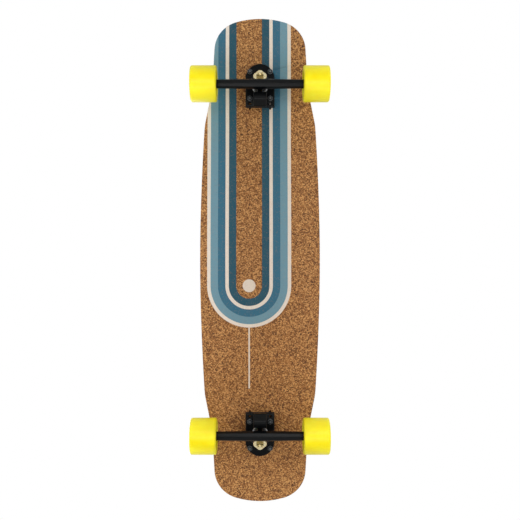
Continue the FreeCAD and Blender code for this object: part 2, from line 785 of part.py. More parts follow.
def make_hanger_gusset(end):
    # The web from the beam up to the ring.
    name = f"{end}_hanger_gusset"
    lean = "atan(sizes.axle_rake / sizes.axle_setback)"
    place = f"{moved(y='-sizes.axle_setback', z='-sizes.axle_rake')} * {turned('1; 0; 0', lean)}"
    body = add_body(name, place)
    sketch = add_sketch(body, f"{name}_outline", "XY_Plane")
    reach = "sqrt(sizes.axle_setback ^ 2 + sizes.axle_rake ^ 2)"
    foot = "(sizes.gusset_foot_width / 2)"
    top = "(sizes.gusset_top_width / 2)"
    draw_polygon(sketch, [(f"-{foot}", "0"), (foot, "0"), (top, reach), (f"-{top}", reach)])
    add_pad(body, sketch, f"{name}_pad", "sizes.gusset_thickness", symmetric=True)
    return body


def make_hanger(end):
    name = f"{end}_hanger"
    tip_centre = "(sizes.pivot_reach - sizes.nose_tip_radius)"
    neck = "(sizes.pivot_reach - sizes.pivot_cup_depth - sizes.pivot_neck_gap)"
    root = "(sizes.ring_radius - sizes.ring_thickness / 2)"
    nose = [
        ("0", f"-{tip_centre}"),
        ("sizes.nose_tip_radius", f"-{tip_centre}"),
        ("sizes.nose_tip_radius", f"-{neck}"),
        ("sizes.nose_root_radius", f"-{root}"),
        ("0", f"-{root}"),
    ]
    collars = f"{moved(y='-sizes.axle_setback', z='-sizes.axle_rake')} * {along_x}"
    ring_start = moved(z="-sizes.ring_thickness / 2")
    solids = [
        make_hanger_beam(end),
        make_hanger_gusset(end),
        add_cylinder(f"{name}_ring", "sizes.ring_radius", "sizes.ring_thickness", ring_start),
        add_revolved(f"{name}_nose", nose, "XY_Plane", "V_Axis"),
        add_sphere(f"{name}_tip", "sizes.nose_tip_radius", moved(y=f"-{tip_centre}")),
    ]
    for side, start in (("right", f"({hanger_end} - sizes.collar_length)"), ("left", f"-{hanger_end}")):
        place = f"{collars} * {moved(z=start)}"
        radius = "sizes.collar_diameter / 2"
        solids.append(add_cylinder(f"{name}_{side}_collar", radius, "sizes.collar_length", place))

    seat = "(sizes.bushing_diameter / 2 + sizes.seat_clearance)"
    clear = f"(sizes.gusset_thickness + {overrun})"
    pin_hole = "(sizes.kingpin_diameter / 2 + sizes.ring_play)"
    # Room under the ring for the cupped washer while the hanger leans.
    relief = f"({cup_rim} + sizes.washer_relief)"
    relief_level = "(sizes.ring_thickness / 2 + sizes.ring_lip)"
    through = f"(2 * {clear})"
    axle_start = f"{collars} * {moved(z='-' + hanger_end)}"
    tools = [
        add_cylinder(f"{name}_pin_hole", pin_hole, through, moved(z=f"-{clear}")),
        add_cylinder(f"{name}_boardside_seat", seat, clear, moved(z=seat_floor)),
        add_cylinder(f"{name}_roadside_seat", seat, clear, moved(z=f"-({seat_floor} + {clear})")),
        add_cylinder(f"{name}_washer_relief", relief, clear, moved(z=f"-({relief_level} + {clear})")),
        add_cylinder(f"{name}_axle_hole", axle_bore, "sizes.hanger_width", axle_start),
    ]
    casting = add_fuse(f"{name}_cast", solids)
    add_node(add_cut(name, casting, add_fuse(f"{name}_tools", tools), rings[end]))


def make_axle(end):
    name = f"{end}_axle"
    place = f"{axles[end]} * {along_x} * {moved(z='-' + axle_end)}"
    add_node(add_cylinder(name, "sizes.axle_diameter / 2", f"(2 * {axle_end})", place))

    groups = {"axle_nuts": [], "speed_washers": [], "bearing_spacers": [], "bearing_inner_rings": []}
    bore = "(sizes.axle_diameter / 2 + sizes.thread_clearance)"
    gaps = [("inner", hanger_end, inner_bearing), ("outer", bearings_end, axle_washer_end)]
    for side, turn in (("right", turned("0; 0; 1", "0")), ("left", half_turn)):
        frame = f"{axles[end]} * {turn}"
        label = f"{end}_{side}"
        nut = f"{frame} * {moved(x=axle_washer_end)} * {along_x}"
        groups["axle_nuts"].append(
            add_hex_nut(f"{label}_axle_nut", "sizes.axle_nut_width", "sizes.axle_nut_height", bore, nut))
        for place, start, stop in gaps:
            ring = add_axle_ring(f"{label}_{place}_washer", axle_bore, inner_shoulder, start, stop, frame)
            groups["speed_washers"].append(ring)
        spacer_start = f"({inner_bearing} + sizes.bearing_width)"
        spacer = add_axle_ring(
            f"{label}_spacer", axle_bore, inner_shoulder, spacer_start, outer_bearing, frame)
        groups["bearing_spacers"].append(spacer)
        for place, start in (("inner", inner_bearing), ("outer", outer_bearing)):
            ring = make_bearing_ring(f"{label}_{place}_ring", axle_bore, inner_shoulder, start, frame)
            groups["bearing_inner_rings"].append(ring)
    for group, solids in groups.items():
        add_group(f"{end}_{group}", solids)


def make_bearing_ring(name, inside, outside, start, frame):
    # One ring of a bearing, with the groove that its balls run in.
    body = add_axle_ring(name, inside, outside, start, f"({start} + sizes.bearing_width)", frame)
    sketch = add_sketch(body, f"{name}_groove_circle", "XY_Plane")
    draw_circle(sketch, f"({start} + sizes.bearing_width / 2)", ball_track, groove_radius)
    groove = body.newObject("PartDesign::Groove", f"{name}_groove")
    groove.Profile = sketch
    groove.ReferenceAxis = (sketch, ["H_Axis"])
    groove.Angle = 360
    return body


def make_tyre(wheel, frame):
    name = f"{wheel}_tyre"
    tread = "(sizes.wheel_diameter / 2)"
    dish = "(sizes.dish_diameter / 2)"
    core = "(sizes.core_diameter / 2)"
    corners = [
        (core_inside, core),
        (core_outside, core),
        (wheel_outside, dish),
        (wheel_outside, tread),
        (wheel_inside, tread),
        (wheel_inside, dish),
    ]
    body = add_revolved(name, corners, "XY_Plane", "H_Axis", frame)
    radius = number(tread)

    def is_tread_edge(edge):
        round_edge = isinstance(edge.Curve, Part.Circle)
        return round_edge and abs(edge.Curve.Radius - radius) < Part.Precision.approximation()

    edges = edges_where(body.Tip, is_tread_edge)
    add_fillet(body, body.Tip, f"{name}_lips", edges, "sizes.lip_radius")
    add_node(body)


def make_core(wheel, frame):
    mouth = f"({bearing_radius} + sizes.core_lip_clearance)"
    shoulder_start = f"({inner_bearing} + sizes.bearing_width)"
    rim = "(sizes.core_diameter / 2)"
    corners = [
        (core_inside, rim),
        (core_inside, mouth),
        (inner_bearing, mouth),
        (inner_bearing, bearing_radius),
        (shoulder_start, bearing_radius),
        (shoulder_start, outer_shoulder),
        (outer_bearing, outer_shoulder),
        (outer_bearing, bearing_radius),
        (bearings_end, bearing_radius),
        (bearings_end, mouth),
        (core_outside, mouth),
        (core_outside, rim),
    ]
    add_node(add_revolved(f"{wheel}_core", corners, "XY_Plane", "H_Axis", frame))


def make_cage(name, middle, frame):
    # A crown cage: a ring beside the balls, with a pocket for each.
    half = f"({shoulder_offset} - sizes.cage_clearance)"
    back = "(sizes.bearing_width / 2 - sizes.shield_inset - sizes.shield_thickness - sizes.shield_gap)"
    front = f"({back} - sizes.cage_overlap)"
    start = f"({middle} + {front})"
    stop = f"({middle} + {back})"
    inside = f"({ball_track} - {half})"
    blank = add_axle_ring(f"{name}_blank", inside, f"({ball_track} + {half})", start, stop, frame)
    balls = []
    pockets = []
    for k in range(int(number("sizes.ball_count"))):
        angle = f"({k} * 360deg / sizes.ball_count)"
        place = f"{frame} * {moved(middle, f'{ball_track} * cos({angle})', f'{ball_track} * sin({angle})')}"
        balls.append(add_sphere(f"{name}_ball_{k}", "sizes.ball_diameter / 2", place))
        pockets.append(add_sphere(f"{name}_pocket_{k}", groove_radius, place))
    cage = add_cut(f"{name}_cage", blank, add_fuse(f"{name}_pockets", pockets))
    return balls + [cage]


def make_wheel_bearings(wheel, frame):
    outer_rings = []
    shields = []
    rolling = []
    reach = "(sizes.shield_inset + sizes.shield_thickness)"
    window = f"({inner_shoulder} + sizes.shield_gap)"
    for place, start in (("inner", inner_bearing), ("outer", outer_bearing)):
        name = f"{wheel}_{place}"
        stop = f"({start} + sizes.bearing_width)"
        outer_rings.append(
            make_bearing_ring(f"{name}_outer_ring", outer_shoulder, bearing_radius, start, frame))
        sides = [
            (f"({start} + sizes.shield_inset)", f"({start} + {reach})"),
            (f"({stop} - {reach})", f"({stop} - sizes.shield_inset)"),
        ]
        for begin, finish in sides:
            label = f"{name}_shield_{len(shields)}"
            shield = add_axle_ring(label, window, outer_shoulder, begin, finish, frame)
            shields.append(shield)
        rolling += make_cage(f"{name}_bearing", f"({start} + sizes.bearing_width / 2)", frame)
    add_group(f"{wheel}_bearing_outer_rings", outer_rings)
    add_group(f"{wheel}_bearing_shields", shields)
    add_group(f"{wheel}_bearing_balls", rolling)


make_deck()
for end in truck_turns:
    make_riser_pad(end)
    make_baseplate(end)
    make_pivot_cup(end)
    make_kingpin(end)
    make_bushings(end)
    make_deck_bolts(end)
    make_hanger(end)
    make_axle(end)
for wheel, frame in wheels.items():
    make_tyre(wheel, frame)
    make_core(wheel, frame)
    make_wheel_bearings(wheel, frame)
doc.recompute()

for feature in doc.Objects:
    if "Invalid" in feature.State or "Error" in feature.State:
        raise RuntimeError(f"{feature.Label} failed: {feature.State}")
for node in nodes:
    if node.Shape.isNull() or not node.Shape.isValid():
        raise RuntimeError(f"{node.Label} has no valid shape")

os.makedirs("parts", exist_ok=True)
for node in nodes:
    node.Shape.exportStep(f"parts/{node.Label}.step")
box = Part.makeCompound([node.Shape for node in nodes]).optimalBoundingBox(False, False)
print(f"{len(nodes)} nodes, {box.XLength:.1f} x {box.YLength:.1f} x {box.ZLength:.1f} mm")
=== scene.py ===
import json
import math

import bmesh
import bpy
from mathutils import Matrix, Vector


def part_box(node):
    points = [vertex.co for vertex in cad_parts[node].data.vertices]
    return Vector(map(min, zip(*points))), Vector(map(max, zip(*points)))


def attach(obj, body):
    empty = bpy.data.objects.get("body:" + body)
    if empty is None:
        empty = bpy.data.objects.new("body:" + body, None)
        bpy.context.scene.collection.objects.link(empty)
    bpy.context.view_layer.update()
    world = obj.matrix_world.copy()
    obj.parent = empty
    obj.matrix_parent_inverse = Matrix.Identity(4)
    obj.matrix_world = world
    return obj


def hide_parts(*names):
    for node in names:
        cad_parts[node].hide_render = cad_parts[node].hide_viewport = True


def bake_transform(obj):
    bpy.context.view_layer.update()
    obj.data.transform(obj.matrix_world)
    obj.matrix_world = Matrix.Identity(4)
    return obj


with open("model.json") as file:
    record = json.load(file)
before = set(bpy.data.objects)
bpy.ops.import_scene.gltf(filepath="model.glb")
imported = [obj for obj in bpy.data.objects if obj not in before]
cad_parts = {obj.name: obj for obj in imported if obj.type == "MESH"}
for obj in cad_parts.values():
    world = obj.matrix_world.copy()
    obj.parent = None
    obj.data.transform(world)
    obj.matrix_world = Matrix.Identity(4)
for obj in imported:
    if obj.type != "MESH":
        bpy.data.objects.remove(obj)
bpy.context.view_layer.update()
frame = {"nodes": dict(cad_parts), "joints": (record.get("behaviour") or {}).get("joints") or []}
nodes = frame["nodes"]
joints = {joint["name"]: joint for joint in frame["joints"]}
scene = bpy.context.scene
scene.view_settings.view_transform = "Standard"
ends = {"front": 0, "rear": 180}  # turn of each truck about the vertical, in degrees
wheels = ("front_left", "front_right", "rear_left", "rear_right")
mm = 0.001
weld = 1e-6  # corners closer than this are one, in metres
print("frame loaded:", len(nodes), "nodes")


def linear(hexColour):
    # sRGB hex to the linear values that the nodes take
    channels = [int(hexColour[k:k + 2], 16) / 255 for k in (1, 3, 5)]
    return [c / 12.92 if c <= 0.04045 else ((c + 0.055) / 1.055) ** 2.4 for c in channels] + [1.0]


def addNode(tree, kind, values=None, links=None, stops=None, **settings):
    # values go to sockets, links come from other nodes, and stops are a colour ramp's places and colours
    node = tree.nodes.new(kind)
    for name, value in settings.items():
        setattr(node, name, value)
    if stops:
        elements = node.color_ramp.elements
        while len(elements) < len(stops):
            elements.new(1.0)
        for element, (position, colour) in zip(elements, stops):
            element.position = position
            element.color = linear(colour)
    for name, value in (values or {}).items():
        node.inputs[name].default_value = value
    for name, source in (links or {}).items():
        tree.links.new(source, node.inputs[name])
    return node


def startMaterial(name, **shader):
    # a Principled shader with its plain values, and the Object coordinates for its patterns
    material = bpy.data.materials.new(name)
    material.use_nodes = True
    tree = material.node_tree
    surface = tree.nodes["Principled BSDF"]
    for socket, value in shader.items():
        surface.inputs[socket.replace("_", " ")].default_value = value
    place = tree.nodes.new("ShaderNodeTexCoord").outputs["Object"]
    return material, tree, surface, place


# Grip tape: silicon carbide grit in resin on a film. Dull charcoal with a tooth that catches the light,
# and dimples where it sinks over the spare holes, with painted shade in them.
grip = {
    # dark and light are the tape's own tones; the near-black third colour is painted shade in the dimples
    "dark": "#15191A", "light": "#424849", "dimpleAndPaintedShade": "#070808",
    "grit": 1.7,  # real grit is 0.2 mm, drawn coarser so that it shows
    "patch": 9.0,  # soft patches in its tone
    "column": 20.6375, "middle": 337.0, "halfRow": 26.9875,  # where the spare holes lie
    "rim": 2.6, "edge": 5.0,  # radii between which a dimple and its painted shade fade
}
gripTape, tree, surface, place = startMaterial("siliconCarbideGrip", Roughness=0.82, Specular_IOR_Level=0.3)
grains = addNode(tree, "ShaderNodeTexVoronoi", {"Scale": 1 / (grip["grit"] * mm)}, {"Vector": place})
patches = addNode(
    tree, "ShaderNodeTexNoise", {"Scale": 1 / (grip["patch"] * mm), "Detail": 3.0}, {"Vector": place})
speck = addNode(tree, "ShaderNodeSeparateColor", None, {"Color": grains.outputs["Color"]})
tone = addNode(
    tree, "ShaderNodeMix", {"Factor": 0.35}, {"A": speck.outputs["Red"], "B": patches.outputs["Fac"]})
ramp = addNode(
    tree, "ShaderNodeValToRGB", None, {"Fac": tone.outputs["Result"]},
    [(0.1, grip["dark"]), (0.9, grip["light"])])
# the spare holes of both trucks are folded onto one
folded = addNode(tree, "ShaderNodeVectorMath", None, {0: place}, operation="ABSOLUTE")
shifted = addNode(
    tree, "ShaderNodeVectorMath", {1: (grip["column"] * mm, grip["middle"] * mm, 0.0)},
    {0: folded.outputs[0]}, operation="SUBTRACT")
refolded = addNode(tree, "ShaderNodeVectorMath", None, {0: shifted.outputs[0]}, operation="ABSOLUTE")
axes = addNode(tree, "ShaderNodeSeparateXYZ", None, {"Vector": refolded.outputs[0]})
alongRow = addNode(
    tree, "ShaderNodeMath", {1: grip["halfRow"] * mm}, {0: axes.outputs["Y"]}, operation="SUBTRACT")
flat = addNode(tree, "ShaderNodeCombineXYZ", None, {"X": axes.outputs["X"], "Y": alongRow.outputs[0]})
fromHole = addNode(tree, "ShaderNodeVectorMath", None, {0: flat.outputs[0]}, operation="LENGTH")
dimpleAndPaintedShade = addNode(
    tree, "ShaderNodeMapRange", {"From Min": grip["rim"] * mm, "From Max": grip["edge"] * mm},
    {"Value": fromHole.outputs["Value"]}, interpolation_type="SMOOTHSTEP")
# painted shade: the tape's colour turns near black over each spare hole, where the dimple sinks
mixed = addNode(
    tree, "ShaderNodeMix", {"A": linear(grip["dimpleAndPaintedShade"])},
    {"Factor": dimpleAndPaintedShade.outputs["Result"], "B": ramp.outputs["Color"]}, data_type="RGBA")
tree.links.new(mixed.outputs["Result"], surface.inputs["Base Color"])
tooth = addNode(
    tree, "ShaderNodeBump", {"Strength": 0.55, "Distance": 0.4 * mm}, {"Height": grains.outputs["Distance"]})
sunken = addNode(
    tree, "ShaderNodeBump", {"Strength": 0.8, "Distance": 0.5 * mm},
    {"Height": dimpleAndPaintedShade.outputs["Result"], "Normal": tooth.outputs["Normal"]})
tree.links.new(sunken.outputs["Normal"], surface.inputs["Normal"])


# Glass and resin skins: dark brown and mottled, glossy, seen only as thin lines at the deck's rim.
skin = {"dark": "#1E1A16", "light": "#3A332B", "tow": 2.0}
fibreSkin, tree, surface, place = startMaterial("fibreResinLaminate", Roughness=0.38, Coat_Weight=0.25)
weave = addNode(
    tree, "ShaderNodeTexNoise", {"Scale": 1 / (skin["tow"] * mm), "Detail": 2.0}, {"Vector": place})
ramp = addNode(
    tree, "ShaderNodeValToRGB", None, {"Fac": weave.outputs["Fac"]},
    [(0.35, skin["dark"]), (0.65, skin["light"])])
tree.links.new(ramp.outputs["Color"], surface.inputs["Base Color"])


# Bamboo core: upright strips glued side by side, seen as long pale grain along the sealed edge.
bamboo = {"dark": "#8A6336", "light": "#C79C62", "fibre": 0.9, "length": 60.0}
bambooCore, tree, surface, place = startMaterial("laminatedBamboo", Roughness=0.45, Coat_Weight=0.3)
longways = addNode(
    tree, "ShaderNodeMapping", {"Scale": (1.0, bamboo["fibre"] / bamboo["length"], 1.0)}, {"Vector": place})
fibres = addNode(
    tree, "ShaderNodeTexNoise", {"Scale": 1 / (bamboo["fibre"] * mm), "Detail": 4.0},
    {"Vector": longways.outputs[0]})
ramp = addNode(
    tree, "ShaderNodeValToRGB", None, {"Fac": fibres.outputs["Fac"]},
    [(0.3, bamboo["dark"]), (0.7, bamboo["light"])])
tree.links.new(ramp.outputs["Color"], surface.inputs["Base Color"])
ridges = addNode(
    tree, "ShaderNodeBump", {"Strength": 0.15, "Distance": 0.2 * mm}, {"Height": fibres.outputs["Fac"]})
tree.links.new(ridges.outputs["Normal"], surface.inputs["Normal"])


# Pressed cork: granules of mixed browns in a binder, printed from the nose to past the middle with stripes
# that turn round.
cork = {
    "granule": 1.9, "bark": "#492912", "brown": "#7F4E22", "middle": "#A26C37", "pale": "#D9A261",
    "ink": (0.99, 0.88),  # how well the ink covers the granules, from the most to the least
    "down": -0.6,  # only faces that look down more than this are printed
}
stripes = {
    "axis": 22.0,  # where the turn's centre lies across the board
    "turn": -52.0,  # where it lies along the board
    "inside": 26.0,  # radius of the innermost band
    "bands": [
        (15.0, "#0F5064"), (7.0, "#EADFD2"), (15.0, "#2C6B86"), (15.0, "#6C97A8"), (7.0, "#EADFD2")],
    "disc": 13.0,  # radius
    "line": 3.2,  # width
    "lineEnd": -262.0,  # where the line stops towards the tail
    "pale": "#E6D9CA",  # the disc and the line
}
corkBase, tree, surface, place = startMaterial("pressedCork", Roughness=0.72)
granules = addNode(tree, "ShaderNodeTexVoronoi", {"Scale": 1 / (cork["granule"] * mm)}, {"Vector": place})
shade = addNode(tree, "ShaderNodeSeparateColor", None, {"Color": granules.outputs["Color"]})
ramp = addNode(
    tree, "ShaderNodeValToRGB", None, {"Fac": shade.outputs["Red"]},
    [(0.0, cork["bark"]), (0.22, cork["brown"]), (0.55, cork["middle"]), (1.0, cork["pale"])])

# distance from the stripes' centre line, which runs straight from the nose to the turn
centre = (stripes["axis"] * mm, stripes["turn"] * mm, 0.0)
spot = addNode(tree, "ShaderNodeVectorMath", {1: centre}, {0: place}, operation="SUBTRACT")
axes = addNode(tree, "ShaderNodeSeparateXYZ", None, {"Vector": spot.outputs[0]})
across = axes.outputs["X"]
along = axes.outputs["Y"]
below = addNode(tree, "ShaderNodeMath", {1: 0.0}, {0: along}, operation="MINIMUM").outputs[0]
leg = addNode(tree, "ShaderNodeCombineXYZ", None, {"X": across, "Y": below})
reach = addNode(tree, "ShaderNodeVectorMath", None, {0: leg.outputs[0]}, operation="LENGTH").outputs["Value"]

edge = stripes["inside"] * mm
started = addNode(tree, "ShaderNodeMath", {1: edge}, {0: reach}, operation="GREATER_THAN").outputs[0]
firstWidth, firstColour = stripes["bands"][0]
printColour = addNode(tree, "ShaderNodeRGB").outputs[0]
printColour.default_value = linear(firstColour)
edge += firstWidth * mm
for width, colour in stripes["bands"][1:]:
    beyond = addNode(tree, "ShaderNodeMath", {1: edge}, {0: reach}, operation="GREATER_THAN").outputs[0]
    layer = addNode(
        tree, "ShaderNodeMix", {"B": linear(colour)}, {"Factor": beyond, "A": printColour}, data_type="RGBA")
    printColour = layer.outputs["Result"]
    edge += width * mm
ended = addNode(tree, "ShaderNodeMath", {1: edge}, {0: reach}, operation="LESS_THAN").outputs[0]
banded = addNode(tree, "ShaderNodeMath", None, {0: started, 1: ended}, operation="MULTIPLY").outputs[0]

# the disc at the centre of the turn, and the line from the outer band towards the tail
level = addNode(tree, "ShaderNodeCombineXYZ", None, {"X": across, "Y": along})
away = addNode(tree, "ShaderNodeVectorMath", None, {0: level.outputs[0]}, operation="LENGTH").outputs["Value"]
disc = addNode(
    tree, "ShaderNodeMath", {1: stripes["disc"] * mm}, {0: away}, operation="LESS_THAN").outputs[0]
offLine = addNode(tree, "ShaderNodeMath", None, {0: across}, operation="ABSOLUTE").outputs[0]
line = addNode(
    tree, "ShaderNodeMath", {1: stripes["line"] / 2 * mm}, {0: offLine}, operation="LESS_THAN").outputs[0]
lineLength = (stripes["turn"] - stripes["lineEnd"]) * mm
for limit, side in ((-edge, "LESS_THAN"), (-lineLength, "GREATER_THAN")):
    stretch = addNode(tree, "ShaderNodeMath", {1: limit}, {0: along}, operation=side).outputs[0]
    line = addNode(tree, "ShaderNodeMath", None, {0: line, 1: stretch}, operation="MULTIPLY").outputs[0]
pale = addNode(tree, "ShaderNodeMath", None, {0: disc, 1: line}, operation="MAXIMUM").outputs[0]
layer = addNode(
    tree, "ShaderNodeMix", {"B": linear(stripes["pale"])}, {"Factor": pale, "A": printColour},
    data_type="RGBA")
printed = addNode(tree, "ShaderNodeMath", None, {0: banded, 1: pale}, operation="MAXIMUM").outputs[0]

cover = addNode(
    tree, "ShaderNodeMapRange", {"From Min": 0.55, "To Min": cork["ink"][0], "To Max": cork["ink"][1]},
    {"Value": shade.outputs["Green"]})
facing = addNode(tree, "ShaderNodeTexCoord")
slope = addNode(tree, "ShaderNodeSeparateXYZ", None, {"Vector": facing.outputs["Normal"]})
down = addNode(tree, "ShaderNodeMath", {1: cork["down"]}, {0: slope.outputs["Z"]}, operation="LESS_THAN")
base = addNode(
    tree, "ShaderNodeMath", None, {0: cover.outputs["Result"], 1: down.outputs[0]}, operation="MULTIPLY")
ink = addNode(tree, "ShaderNodeMath", None, {0: printed, 1: base.outputs[0]}, operation="MULTIPLY")
final = addNode(
    tree, "ShaderNodeMix", None,
    {"Factor": ink.outputs[0], "A": ramp.outputs["Color"], "B": layer.outputs["Result"]}, data_type="RGBA")
tree.links.new(final.outputs["Result"], surface.inputs["Base Color"])
pits = addNode(
    tree, "ShaderNodeBump", {"Strength": 0.25, "Distance": 0.3 * mm},
    {"Height": granules.outputs["Distance"]})
tree.links.new(pits.outputs["Normal"], surface.inputs["Normal"])
print("deck materials made")


def speckledMaterial(name, dark, light, grain, roughness, bump=0.1, **shader):
    # a moulded, cast or plated finish: two close tones in soft patches, and roughness that follows them
    material, tree, surface, place = startMaterial(name, **shader)
    patches = addNode(
        tree, "ShaderNodeTexNoise", {"Scale": 1 / (grain * mm), "Detail": 4.0}, {"Vector": place})
    ramp = addNode(
        tree, "ShaderNodeValToRGB", None, {"Fac": patches.outputs["Fac"]}, [(0.3, dark), (0.7, light)])
    tree.links.new(ramp.outputs["Color"], surface.inputs["Base Color"])
    sheen = addNode(
        tree, "ShaderNodeMapRange", {"To Min": roughness[0], "To Max": roughness[1]},
        {"Value": patches.outputs["Fac"]})
    tree.links.new(sheen.outputs["Result"], surface.inputs["Roughness"])
    unevenness = addNode(
        tree, "ShaderNodeBump", {"Strength": bump, "Distance": 0.2 * mm}, {"Height": patches.outputs["Fac"]})
    tree.links.new(unevenness.outputs["Normal"], surface.inputs["Normal"])
    return material


# black satin paint with a faint orange peel
powderCoat = speckledMaterial(
    "blackPowderCoat", "#040506", "#090B0D", 1.4, (0.24, 0.34), 0.2, Specular_IOR_Level=0.2)
# matt black, a little uneven
mouldedRubber = speckledMaterial("blackMouldedRubber", "#101010", "#1B1B1B", 2.5, (0.65, 0.85), 0.15)
# bright cool grey, softly mirrored
zincSteel = speckledMaterial(
    "zincPlatedSteel", "#A9ABAE", "#D3D4D6", 3.0, (0.22, 0.4), 0.05, Metallic=1.0)
# pale straw gold, softly mirrored
goldZinc = speckledMaterial(
    "paleGoldZincPlate", "#DCC78E", "#F6EBC6", 3.0, (0.18, 0.35), 0.05, Metallic=1.0)
# dull grey with a weak shine
phosphateSteel = speckledMaterial(
    "phosphatedSteel", "#55595C", "#7B7F82", 2.0, (0.35, 0.5), 0.05, Metallic=0.8)
# clear lemon yellow that lets some light in
castUrethane = speckledMaterial(
    "castYellowUrethane", "#FFF018", "#FFF62A", 14.0, (0.32, 0.42), 0.03,
    Subsurface_Weight=0.12, Subsurface_Radius=(0.01, 0.008, 0.002), Subsurface_Scale=1.0)
# black with a waxy shine
bushingUrethane = speckledMaterial("castBlackUrethane", "#141414", "#202020", 4.0, (0.4, 0.55), 0.05)
# black with a fine fibrous grain
coreNylon = speckledMaterial("blackGlassFilledNylon", "#131313", "#222222", 1.5, (0.45, 0.6), 0.12)
# off-white and waxy
lockNylon = speckledMaterial("whiteNylonInsert", "#C9C7BE", "#DEDCD4", 2.0, (0.4, 0.55), 0.05)
# black and waxy
darkNylon = speckledMaterial("blackNylonInsert", "#101010", "#1C1C1C", 2.0, (0.4, 0.55), 0.05)
print("hardware materials made")

finishes = {
    "grip_tape": gripTape, "top_fibre_skin": fibreSkin, "base_fibre_skin": fibreSkin,
    "deck_core": bambooCore, "cork_base": corkBase,
}
for end in ends:
    for part, material in (
        ("riser_pad", mouldedRubber), ("baseplate", powderCoat), ("pivot_cup", mouldedRubber),
        ("kingpin", goldZinc), ("kingpin_nut", goldZinc), ("boardside_washer", zincSteel),
        ("boardside_bushing", bushingUrethane), ("roadside_bushing", bushingUrethane),
        ("roadside_washer", goldZinc), ("deck_bolts", zincSteel), ("lock_nuts", phosphateSteel),
        ("hanger", powderCoat), ("axle", zincSteel), ("axle_nuts", zincSteel), ("speed_washers", zincSteel),
        ("bearing_spacers", zincSteel), ("bearing_inner_rings", zincSteel),
    ):
        finishes[f"{end}_{part}"] = material
for wheel in wheels:
    for part, material in (
        ("tyre", castUrethane), ("core", coreNylon), ("bearing_outer_rings", zincSteel),
        ("bearing_shields", zincSteel), ("bearing_balls", zincSteel),
    ):
        finishes[f"{wheel}_{part}"] = material
for name, node in nodes.items():
    node.data.materials.clear()
    node.data.materials.append(finishes[name])
print("materials given to", len(finishes), "nodes")


def ringFrame(end):
    # the leaning ring of a truck: local Z along the kingpin towards the deck, local Y along the steering axis
    joint = joints[f"{end}_truck_steer"]
    lean = math.asin(joint["axis"][2])
    turn = Matrix.Rotation(math.radians(ends[end]), 4, "Z")
    return Matrix.Translation(joint["pos_m"]) @ turn @ Matrix.Rotation(lean, 4, "X")


def spinProfile(bm, profile, steps, closed=True):
    # profile corners are distance from the local Z axis and place along it, in millimetres
    verts = [bm.verts.new((radius * mm, 0.0, height * mm)) for radius, height in profile]
    edges = [bm.edges.new(pair) for pair in zip(verts, verts[1:])]
    if closed:
        edges.append(bm.edges.new((verts[-1], verts[0])))
    bmesh.ops.spin(
        bm, geom=verts + edges, cent=(0, 0, 0), axis=(0, 0, 1), angle=math.tau, steps=steps, use_merge=True)
    bmesh.ops.remove_doubles(bm, verts=bm.verts, dist=weld)
    bmesh.ops.recalc_face_normals(bm, faces=bm.faces)


def arc(across, along, radius, first, last, steps=6):
    # corners of a round in a profile, with its angles in degrees
    angles = [math.radians(first + (last - first) * k / steps) for k in range(steps + 1)]
    return [(across + radius * math.cos(a), along + radius * math.sin(a)) for a in angles]


def finishPiece(name, bm, materials, sharpAngle=35):
    mesh = bpy.data.meshes.new(name)
    bm.to_mesh(mesh)
    bm.free()
    mesh.shade_smooth()
    mesh.set_sharp_from_angle(angle=math.radians(sharpAngle))
    for material in materials:
        mesh.materials.append(material)
    piece = bpy.data.objects.new(name, mesh)
    scene.collection.objects.link(piece)
    return piece


halfTurn = Matrix.Rotation(math.pi, 4, "X")


# Bushings: cast barrels, a little crowned, one on each side of each truck's ring.
bushing = {
    "bore": 4.95, "radius": 12.1, "shoulder": 11.5, "seat": 2.5, "end": 14.5, "rim": 0.7, "crown": 0.12,
    "rows": 8, "steps": 64,
}
height = bushing["end"] - bushing["seat"]
barrel = [(bushing["bore"], 0.0), (bushing["shoulder"], 0.0)]
for k in range(bushing["rows"] + 1):
    share = k / bushing["rows"]
    swell = bushing["crown"] * math.sin(math.pi * share)
    barrel.append((bushing["radius"] + swell, bushing["rim"] + share * (height - 2 * bushing["rim"])))
barrel += [(bushing["shoulder"], height), (bushing["bore"], height)]
for end in ends:
    for side in ("boardside", "roadside"):
        bm = bmesh.new()
        spinProfile(bm, barrel, bushing["steps"])
        stand = ringFrame(end)
        if side == "roadside":
            stand = stand @ halfTurn
        seat = stand @ Matrix.Translation((0, 0, bushing["seat"] * mm))
        bmesh.ops.transform(bm, matrix=seat, verts=bm.verts)
        piece = finishPiece(f"{end}_{side}_barrel", bm, [bushingUrethane])
        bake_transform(piece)
        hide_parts(f"{end}_{side}_bushing")
print("bushings made")


# Bushing washers: a flat one with a rolled edge on the board side, a pressed cup under the nut on the road
# side.
flatWasher = {"bore": 4.95, "radius": 15.0, "face": 14.5, "back": 16.5}
cupWasher = {
    "bore": 4.95, "inside": 12.4, "radius": 13.4, "lip": 12.5, "face": 14.5, "back": 16.0, "bend": 0.9}
washerMesh = {"steps": 72, "sharp": 40}
roll = (flatWasher["back"] - flatWasher["face"]) / 2
wall = (cupWasher["radius"] - cupWasher["inside"]) / 2
bend = cupWasher["bend"]
washers = {
    "boardside": [(flatWasher["bore"], flatWasher["face"])]
    + arc(flatWasher["radius"] - roll, flatWasher["face"] + roll, roll, -90, 90)
    + [(flatWasher["bore"], flatWasher["back"])],
    "roadside": [(cupWasher["bore"], cupWasher["face"]), (cupWasher["inside"], cupWasher["face"])]
    + arc(cupWasher["inside"] + wall, cupWasher["lip"] + wall, wall, 180, 360)
    + arc(cupWasher["radius"] - bend, cupWasher["back"] - bend, bend, 0, 90)
    + [(cupWasher["bore"], cupWasher["back"])],
}
